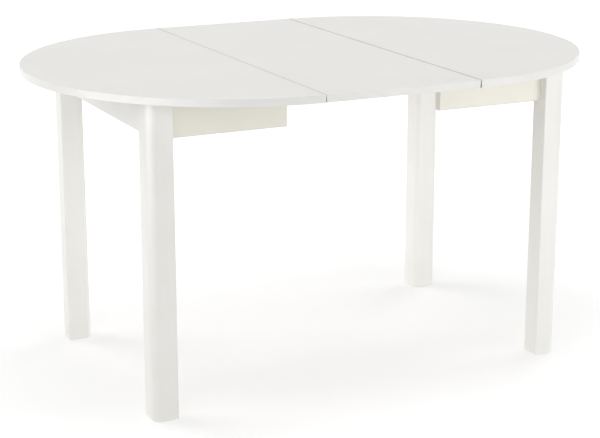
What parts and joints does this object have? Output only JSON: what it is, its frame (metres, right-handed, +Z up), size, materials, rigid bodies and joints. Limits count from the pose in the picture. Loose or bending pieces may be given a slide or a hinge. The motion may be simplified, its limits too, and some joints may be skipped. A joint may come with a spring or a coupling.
{
  "type": "extendable dining table",
  "caption": "Round dining table on square legs with rounded outer corners; its halves pull apart on wooden slides to take a loose middle leaf.",
  "frame": {"origin": "on the floor under the middle of the pulled-out table", "axes": "+X along the pull towards the right half, +Y to the rear, +Z up"},
  "size_m": [1.4132, 1.02, 0.765],
  "materials": {
    "white_laminate": "satin white melamine on board",
    "edge_band": "satin white edging",
    "painted_wood": "satin off-white lacquer",
    "beech": "plain planed beech",
    "zinc_steel": "bright zinc plate",
    "glide_plastic": "moulded"
  },
  "bodies": {
    "left_half": {"left_front_leg": "painted_wood", "left_rear_leg": "painted_wood", "left_end_apron": "painted_wood", "left_front_apron": "painted_wood", "left_rear_apron": "painted_wood", "left_front_rail": "beech", "left_rear_rail": "beech", "left_front_bracket": "zinc_steel", "left_rear_bracket": "zinc_steel", "left_leg_bolts": "zinc_steel", "left_leg_washers": "zinc_steel", "left_leg_nuts": "zinc_steel", "left_bracket_screws": "zinc_steel", "left_top_angles": "zinc_steel", "left_angle_screws": "zinc_steel", "left_rail_screws": "zinc_steel", "left_stop_plates": "zinc_steel", "left_stop_screws": "zinc_steel", "left_front_glide": "glide_plastic", "left_rear_glide": "glide_plastic", "left_top_board": "white_laminate", "left_curved_band": "edge_band", "left_seam_band": "edge_band"},
    "right_half": {"right_front_leg": "painted_wood", "right_rear_leg": "painted_wood", "right_end_apron": "painted_wood", "right_front_apron": "painted_wood", "right_rear_apron": "painted_wood", "right_front_rail": "beech", "right_rear_rail": "beech", "right_front_bracket": "zinc_steel", "right_rear_bracket": "zinc_steel", "right_leg_bolts": "zinc_steel", "right_leg_washers": "zinc_steel", "right_leg_nuts": "zinc_steel", "right_bracket_screws": "zinc_steel", "right_top_angles": "zinc_steel", "right_angle_screws": "zinc_steel", "right_rail_screws": "zinc_steel", "right_stop_plates": "zinc_steel", "right_stop_screws": "zinc_steel", "right_front_glide": "glide_plastic", "right_rear_glide": "glide_plastic", "right_top_board": "white_laminate", "right_curved_band": "edge_band", "right_seam_band": "edge_band"},
    "carriage": {"front_running_bar": "beech", "rear_running_bar": "beech", "cross_tie": "beech", "tie_screws": "zinc_steel", "stop_pins": "zinc_steel"},
    "leaf": {"leaf_board": "white_laminate", "leaf_front_band": "edge_band", "leaf_rear_band": "edge_band", "leaf_left_band": "edge_band", "leaf_right_band": "edge_band", "leaf_front_bearer": "beech", "leaf_rear_bearer": "beech", "leaf_pegs": "beech"}
  },
  "joints": [
    {"name": "right_half_slide", "type": "slide", "parent": "left_half", "child": "right_half", "axis": [1, 0, 0], "range_m": [-0.393, 0]},
    {"name": "carriage_slide", "type": "slide", "parent": "left_half", "child": "carriage", "axis": [1, 0, 0], "range_m": [-0.1966, 0]},
    {"name": "leaf_lift", "type": "slide", "parent": "carriage", "child": "leaf", "axis": [0, 0, 1], "range_m": [0, 1.26]}
  ],
  "couplings": [
    {"joint": "carriage_slide", "follows": "right_half_slide", "ratio": 0.5},
    {"joint": "leaf_lift", "follows": "right_half_slide", "ratio": -3.2}
  ]
}
